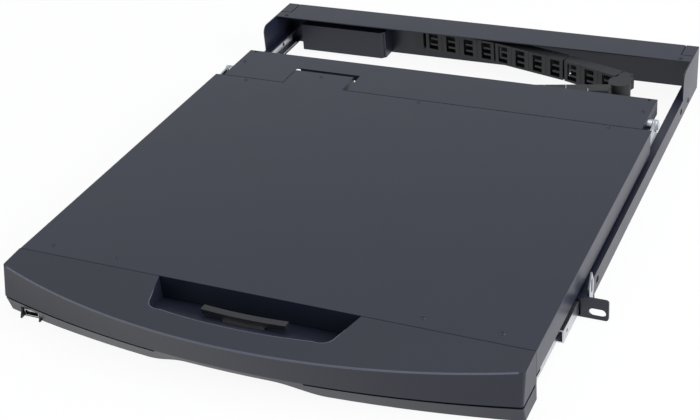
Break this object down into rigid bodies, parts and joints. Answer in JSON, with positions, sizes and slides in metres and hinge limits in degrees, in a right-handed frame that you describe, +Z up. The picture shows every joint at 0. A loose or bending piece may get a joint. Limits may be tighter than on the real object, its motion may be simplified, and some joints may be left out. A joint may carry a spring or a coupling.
{
  "type": "rackmount lcd console drawer",
  "caption": "Low rack drawer with a hinged display lid, keyboard and touch pad under it, front pull bezel, side slides and a cable carrier behind.",
  "frame": {"origin": "midway between the slots of the two rack ears, on the ears' front face", "axes": "+X to the right seen from the front, +Y to the back of the rack, +Z up"},
  "size_m": [0.4826, 0.5677, 0.0444],
  "materials": {
    "painted_steel": "satin powder coat",
    "bare_steel": "zinc-plated sheet",
    "screws": "black zinc",
    "bezel_plastic": "fine moulded grain",
    "black_plastic": "fine moulded grain",
    "key_plastic": "satin",
    "port_metal": "nickel plated",
    "screen": "dark anti-glare glass",
    "pad_rubber": "soft"
  },
  "bodies": {
    "frame": {"rail_left": "painted_steel", "rail_right": "painted_steel", "ear_left": "painted_steel", "ear_right": "painted_steel", "side_plate_left": "painted_steel", "side_plate_right": "painted_steel", "frame_screws": "screws", "top_cover": "painted_steel", "rear_wall": "painted_steel", "module_box": "painted_steel", "port_block": "black_plastic", "slide_fixed_left": "bare_steel", "slide_fixed_right": "bare_steel", "anchor_rear": "black_plastic"},
    "middle_left": {"slide_middle_left": "bare_steel"},
    "middle_right": {"slide_middle_right": "bare_steel"},
    "lever_left": {"lever_left": "bare_steel"},
    "lever_right": {"lever_right": "bare_steel"},
    "drawer": {"keyboard_pan": "painted_steel", "slide_moving_left": "bare_steel", "slide_moving_right": "bare_steel", "front_bezel": "bezel_plastic", "usb_pod": "black_plastic", "usb_shell": "port_metal", "rear_plate": "painted_steel", "hinge_bracket_left": "bare_steel", "hinge_bracket_right": "bare_steel", "drawer_screws": "screws", "palm_rest": "bezel_plastic", "rear_deck": "bezel_plastic", "touch_pad": "black_plastic", "keyboard_base": "black_plastic", "anchor_drawer": "black_plastic"},
    "latch": {"latch_bar": "black_plastic"},
    "pad_button_left": {"pad_button_left": "black_plastic"},
    "pad_button_right": {"pad_button_right": "black_plastic"},
    "lid": {"lid_shell": "painted_steel", "display_mask": "bezel_plastic", "display_panel": "screen", "hinge_leaf_left": "bare_steel", "hinge_leaf_right": "bare_steel", "hinge_pins": "bare_steel", "lid_screws": "screws", "lid_pads": "pad_rubber"},
    "osd_power": {"osd_power": "black_plastic"},
    "osd_menu": {"osd_menu": "black_plastic"},
    "keys_front": {"keys_front": "key_plastic"},
    "keys_letters": {"keys_letters": "key_plastic"},
    "keys_upper": {"keys_upper": "key_plastic"},
    "keys_space": {"keys_space": "key_plastic"},
    "keys_cursor": {"keys_cursor": "key_plastic"},
    "keys_number": {"keys_number": "key_plastic"},
    "carrier_rear_1": {"carrier_rear_1": "black_plastic"},
    "carrier_rear_2": {"carrier_rear_2": "black_plastic"},
    "carrier_rear_3": {"carrier_rear_3": "black_plastic"},
    "carrier_drawer_1": {"carrier_drawer_1": "black_plastic"},
    "carrier_drawer_2": {"carrier_drawer_2": "black_plastic"}
  },
  "joints": [
    {"name": "drawer_slide", "type": "slide", "parent": "frame", "child": "drawer", "axis": [0, -1, 0], "range_m": [-0.1037, 0.24]},
    {"name": "middle_slide_left", "type": "slide", "parent": "frame", "child": "middle_left", "axis": [0, -1, 0], "range_m": [-0.05185, 0.12]},
    {"name": "middle_slide_right", "type": "slide", "parent": "frame", "child": "middle_right", "axis": [0, -1, 0], "range_m": [-0.05185, 0.12]},
    {"name": "lid_hinge", "type": "hinge", "parent": "drawer", "child": "lid", "pos_m": [0, 0.2485, 0.0292], "axis": [-1, 0, 0], "range_deg": [0, 105]},
    {"name": "latch_slide", "type": "slide", "parent": "drawer", "child": "latch", "axis": [0, -1, 0], "range_m": [0, 0.003], "stiffness_N_per_m": 600, "springref_m": -0.003},
    {"name": "lever_left_tilt", "type": "hinge", "parent": "frame", "child": "lever_left", "pos_m": [-0.2235, 0.011, 0], "axis": [-1, 0, 0], "range_deg": [0, 12], "stiffness_Nm_per_rad": 0.05, "springref_deg": -17.19},
    {"name": "lever_right_tilt", "type": "hinge", "parent": "frame", "child": "lever_right", "pos_m": [0.2235, 0.011, 0], "axis": [-1, 0, 0], "range_deg": [0, 12], "stiffness_Nm_per_rad": 0.05, "springref_deg": -17.19},
    {"name": "keys_front_press", "type": "slide", "parent": "drawer", "child": "keys_front", "axis": [0, 0, -1], "range_m": [0, 0.0023], "stiffness_N_per_m": 900, "springref_m": -0.003},
    {"name": "keys_letters_press", "type": "slide", "parent": "drawer", "child": "keys_letters", "axis": [0, 0, -1], "range_m": [0, 0.0023], "stiffness_N_per_m": 900, "springref_m": -0.003},
    {"name": "keys_upper_press", "type": "slide", "parent": "drawer", "child": "keys_upper", "axis": [0, 0, -1], "range_m": [0, 0.0023], "stiffness_N_per_m": 900, "springref_m": -0.003},
    {"name": "keys_space_press", "type": "slide", "parent": "drawer", "child": "keys_space", "axis": [0, 0, -1], "range_m": [0, 0.0023], "stiffness_N_per_m": 900, "springref_m": -0.003},
    {"name": "keys_cursor_press", "type": "slide", "parent": "drawer", "child": "keys_cursor", "axis": [0, 0, -1], "range_m": [0, 0.0023], "stiffness_N_per_m": 900, "springref_m": -0.003},
    {"name": "keys_number_press", "type": "slide", "parent": "drawer", "child": "keys_number", "axis": [0, 0, -1], "range_m": [0, 0.0023], "stiffness_N_per_m": 900, "springref_m": -0.003},
    {"name": "pad_button_left_press", "type": "slide", "parent": "drawer", "child": "pad_button_left", "axis": [0, 0, -1], "range_m": [0, 0.0008], "stiffness_N_per_m": 500, "springref_m": -0.002},
    {"name": "pad_button_right_press", "type": "slide", "parent": "drawer", "child": "pad_button_right", "axis": [0, 0, -1], "range_m": [0, 0.0008], "stiffness_N_per_m": 500, "springref_m": -0.002},
    {"name": "osd_power_press", "type": "slide", "parent": "lid", "child": "osd_power", "axis": [0, 0, 1], "range_m": [0, 0.0006], "stiffness_N_per_m": 500, "springref_m": -0.002},
    {"name": "osd_menu_press", "type": "slide", "parent": "lid", "child": "osd_menu", "axis": [0, 0, 1], "range_m": [0, 0.0006], "stiffness_N_per_m": 500, "springref_m": -0.002},
    {"name": "carrier_rear_1_turn", "type": "hinge", "parent": "frame", "child": "carrier_rear_1", "pos_m": [-0.0566, 0.3899, 0.0206], "axis": [0, 0, -1], "range_deg": [-9.92, 22.83]},
    {"name": "carrier_rear_2_turn", "type": "hinge", "parent": "carrier_rear_1", "child": "carrier_rear_2", "pos_m": [0.02421, 0.37854, 0.0206], "axis": [0, 0, -1], "range_deg": [-5.35, 12.26]},
    {"name": "carrier_rear_3_turn", "type": "hinge", "parent": "carrier_rear_2", "child": "carrier_rear_3", "pos_m": [0.10303, 0.35742, 0.0206], "axis": [0, 0, -1], "range_deg": [-4.31, 9.84]},
    {"name": "carrier_drawer_1_turn", "type": "hinge", "parent": "carrier_rear_3", "child": "carrier_drawer_1", "pos_m": [0.16455, 0.3212, 0.0206], "axis": [0, 0, 1], "range_deg": [-33.21, 76.72]},
    {"name": "carrier_drawer_2_turn", "type": "hinge", "parent": "carrier_drawer_1", "child": "carrier_drawer_2", "pos_m": [0.06121, 0.27865, 0.0206], "axis": [0, 0, 1], "range_deg": [-2.92, 6.63]}
  ],
  "couplings": [
    {"joint": "middle_slide_left", "follows": "drawer_slide", "ratio": 0.5},
    {"joint": "middle_slide_right", "follows": "drawer_slide", "ratio": 0.5},
    {"joint": "carrier_rear_1_turn", "follows": "drawer_slide", "rad_per_m": 1.653},
    {"joint": "carrier_rear_2_turn", "follows": "drawer_slide", "rad_per_m": 0.884},
    {"joint": "carrier_rear_3_turn", "follows": "drawer_slide", "rad_per_m": 0.708},
    {"joint": "carrier_drawer_1_turn", "follows": "drawer_slide", "rad_per_m": 5.572},
    {"joint": "carrier_drawer_2_turn", "follows": "drawer_slide", "rad_per_m": 0.475}
  ]
}
